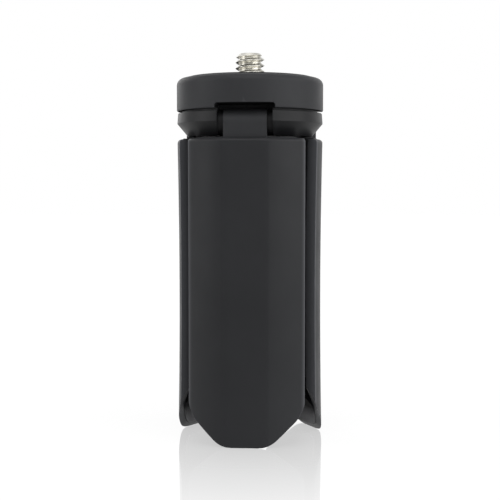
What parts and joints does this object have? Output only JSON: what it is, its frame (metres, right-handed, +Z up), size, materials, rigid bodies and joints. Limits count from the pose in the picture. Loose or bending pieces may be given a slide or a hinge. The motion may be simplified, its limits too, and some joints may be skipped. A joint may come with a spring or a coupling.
{
  "type": "mini tripod",
  "caption": "Mini tripod whose legs close into a round hand grip, with a threaded camera screw and a rubber pad on its round head.",
  "frame": {"origin": "on the floor under the tripod's centre line, with the legs closed and standing on their tips", "axes": "+Z up along the camera screw, -Y towards the front leg"},
  "size_m": [0.032, 0.032, 0.0837],
  "materials": {
    "head_plastic": "fine moulded texture, matte black",
    "hub_plastic": "smooth moulded, black",
    "shell_plastic": "fine satin moulded, black",
    "core_plastic": "moulded, black",
    "rubber": "matte rubber, black",
    "screw_steel": "bright nickel plated steel",
    "fastener_steel": "plain steel",
    "washer_nylon": "plain nylon, dark grey"
  },
  "bodies": {
    "head": {"head_cap": "head_plastic", "top_pad": "rubber", "camera_screw": "screw_steel", "hub": "hub_plastic", "pin_keeper": "hub_plastic", "cap_screws": "fastener_steel", "hinge_pin_front": "fastener_steel", "friction_washers_front": "washer_nylon", "hinge_pin_right": "fastener_steel", "friction_washers_right": "washer_nylon", "hinge_pin_left": "fastener_steel", "friction_washers_left": "washer_nylon"},
    "leg_front": {"leg_shell_front": "shell_plastic", "leg_core_front": "core_plastic", "foot_pad_front": "rubber", "leg_screws_front": "fastener_steel"},
    "leg_right": {"leg_shell_right": "shell_plastic", "leg_core_right": "core_plastic", "foot_pad_right": "rubber", "leg_screws_right": "fastener_steel"},
    "leg_left": {"leg_shell_left": "shell_plastic", "leg_core_left": "core_plastic", "foot_pad_left": "rubber", "leg_screws_left": "fastener_steel"}
  },
  "joints": [
    {"name": "leg_front_fold", "type": "hinge", "parent": "head", "child": "leg_front", "pos_m": [0, -0.0111, 0.06815], "axis": [-1, 0, 0], "range_deg": [0, 57]},
    {"name": "leg_right_fold", "type": "hinge", "parent": "head", "child": "leg_right", "pos_m": [0.00961, 0.00555, 0.06815], "axis": [0.5, -0.866, 0], "range_deg": [0, 57]},
    {"name": "leg_left_fold", "type": "hinge", "parent": "head", "child": "leg_left", "pos_m": [-0.00961, 0.00555, 0.06815], "axis": [0.5, 0.866, 0], "range_deg": [0, 57]}
  ]
}
